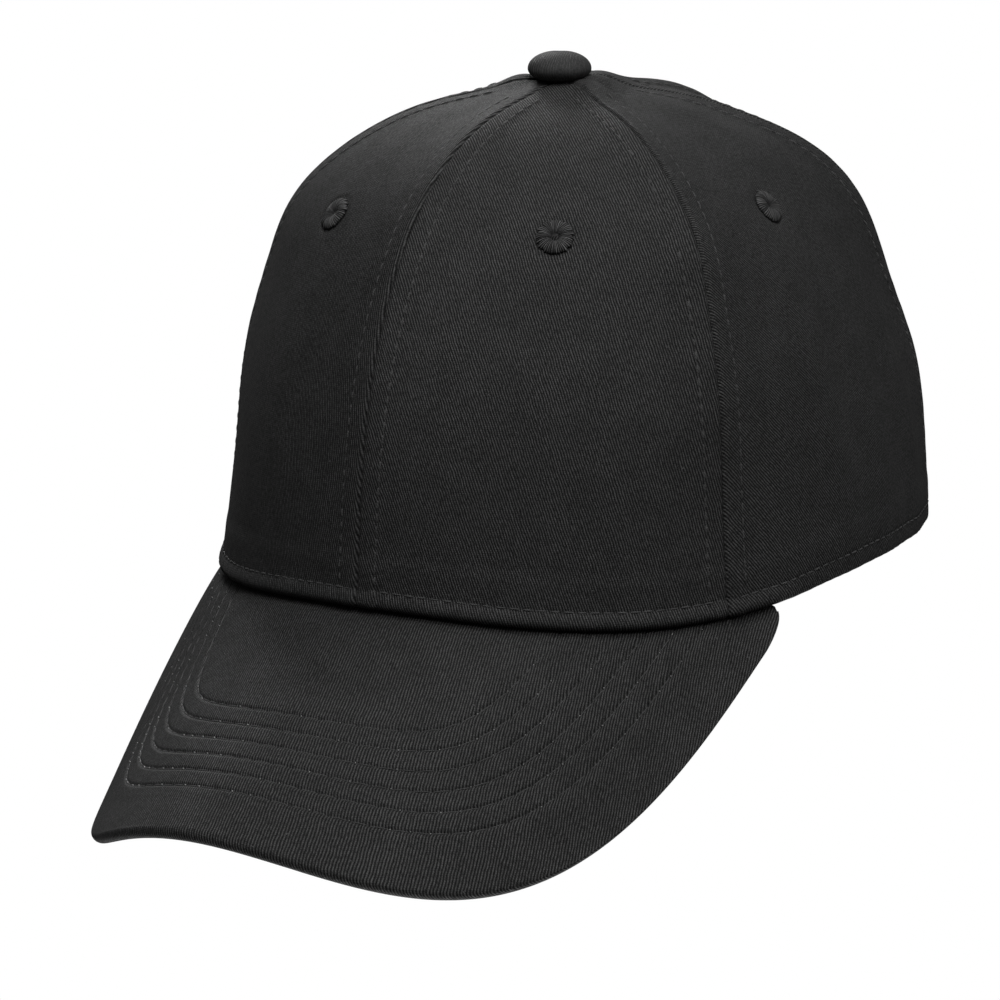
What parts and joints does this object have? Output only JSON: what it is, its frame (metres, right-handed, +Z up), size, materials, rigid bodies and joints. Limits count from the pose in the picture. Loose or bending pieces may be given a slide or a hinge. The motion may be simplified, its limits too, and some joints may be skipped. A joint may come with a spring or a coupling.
{
  "type": "baseball cap",
  "caption": "Structured black twill baseball cap with a pre-curved bill, stitched eyelets, a covered top button and an adjustable back strap with a flip clasp.",
  "frame": {"origin": "in the plane of the hem, on the vertical line through the top button, in the middle of the head opening's width", "axes": "+Z up through the button, the bill points to -Y, +X is the wearer's left"},
  "size_m": [0.1618, 0.2711, 0.1798],
  "materials": {
    "twill": "black cotton twill, soft sheen",
    "buckram": "stiff open weave, matte",
    "tape": "plain weave binding, matte",
    "sweatband": "soft cotton, matte",
    "thread": "twisted polyester thread, slight sheen",
    "button_metal": "pressed, dull",
    "board": "matte",
    "clasp_metal": "brushed, darkened"
  },
  "bodies": {
    "cap": {"front_panel_left": "twill", "front_panel_right": "twill", "side_panel_left": "twill", "side_panel_right": "twill", "back_panel_left": "twill", "back_panel_right": "twill", "buckram_left": "buckram", "buckram_right": "buckram", "seam_tape_centre": "tape", "seam_tape_cross_left": "tape", "seam_tape_cross_right": "tape", "sweatband": "sweatband", "eyelet_front_left": "thread", "eyelet_front_right": "thread", "eyelet_side_left": "thread", "eyelet_side_right": "thread", "eyelet_back_left": "thread", "eyelet_back_right": "thread", "button_cover": "twill", "button_shell": "button_metal", "button_rivet": "button_metal", "bill_top_cover": "twill", "bill_board": "board", "bill_under_cover": "twill", "arch_binding": "tape", "closure_strap": "twill", "clasp_loop": "twill", "clasp_frame": "clasp_metal", "clasp_pin": "clasp_metal"},
    "lever": {"clasp_lever": "clasp_metal"}
  },
  "joints": [
    {"name": "clasp_flip", "type": "hinge", "parent": "cap", "child": "lever", "pos_m": [-0.01589, 0.11402, 0.0145], "axis": [0, 0, -1], "range_deg": [0, 100]}
  ]
}
